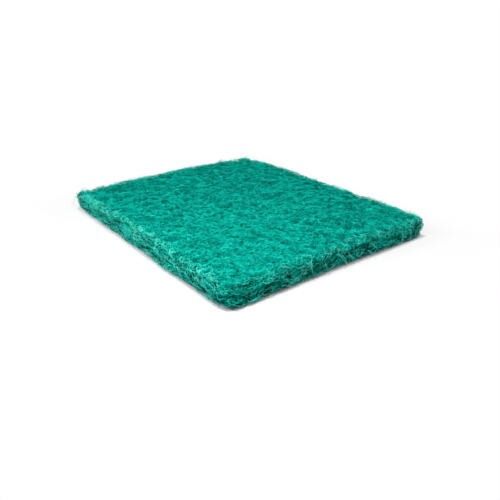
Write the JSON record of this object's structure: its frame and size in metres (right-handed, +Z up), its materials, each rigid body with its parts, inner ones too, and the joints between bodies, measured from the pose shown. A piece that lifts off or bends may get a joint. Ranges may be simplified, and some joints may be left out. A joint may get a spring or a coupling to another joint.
{
  "type": "scouring pad",
  "caption": "Flat rectangular pad of open non-woven fibre with rounded corners, held in the hand to scour pans, benches and tools.",
  "frame": {"origin": "middle of the pad's outline, on its flat underside", "axes": "+X across the pad's short side, +Y along its long side, +Z up out of the underside"},
  "size_m": [0.1254, 0.1502, 0.0116],
  "materials": {
    "fibre_web": "open, springy non-woven web of curly resin-coated fibres, matt with small glints"
  },
  "bodies": {
    "root": {"scouring_pad": "fibre_web"}
  },
  "joints": []
}
